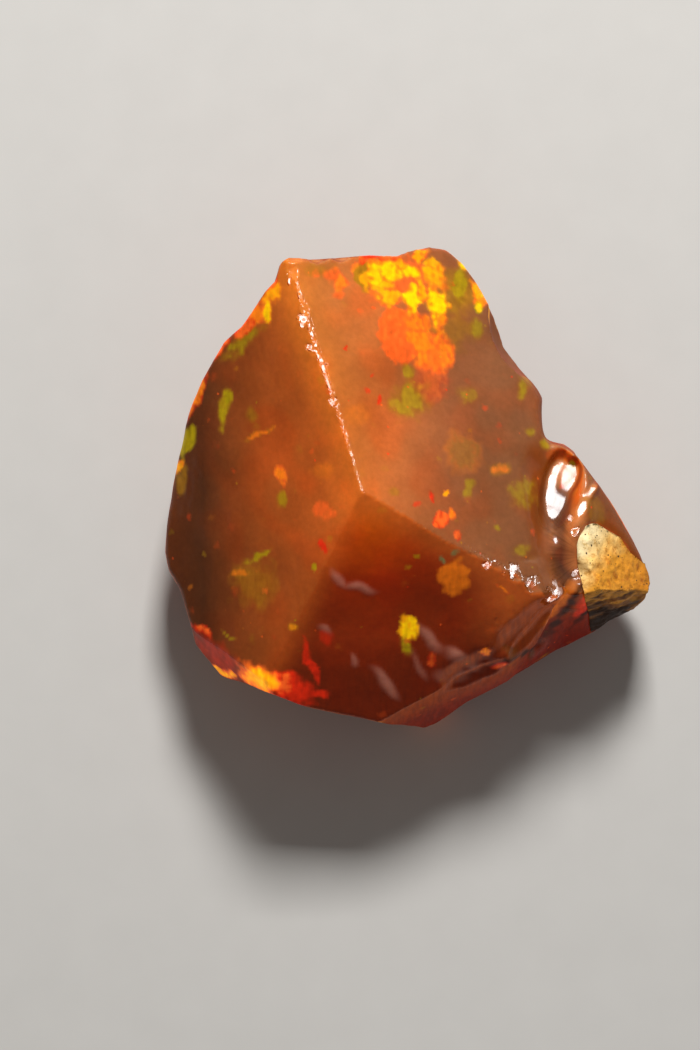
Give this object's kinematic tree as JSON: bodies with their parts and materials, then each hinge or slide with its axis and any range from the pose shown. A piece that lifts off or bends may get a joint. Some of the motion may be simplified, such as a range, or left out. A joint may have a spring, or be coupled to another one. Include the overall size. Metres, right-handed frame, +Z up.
{
  "type": "rough opal specimen",
  "caption": "Rough orange precious opal: a broken lump with broad fracture faces round a raised corner, and a remnant of ochre host rock at one end",
  "frame": {"origin": "on the resting plane, under the middle of the stone's bounding box", "axes": "+Z up from the flat back through the raised corner; +X towards the host rock end; +Y towards the end of the top ridge"},
  "size_m": [0.03, 0.0296, 0.0169],
  "materials": {
    "opal": "polished",
    "host_rock": "matte"
  },
  "bodies": {
    "root": {"opal": "opal", "host_rock": "host_rock"}
  },
  "joints": []
}
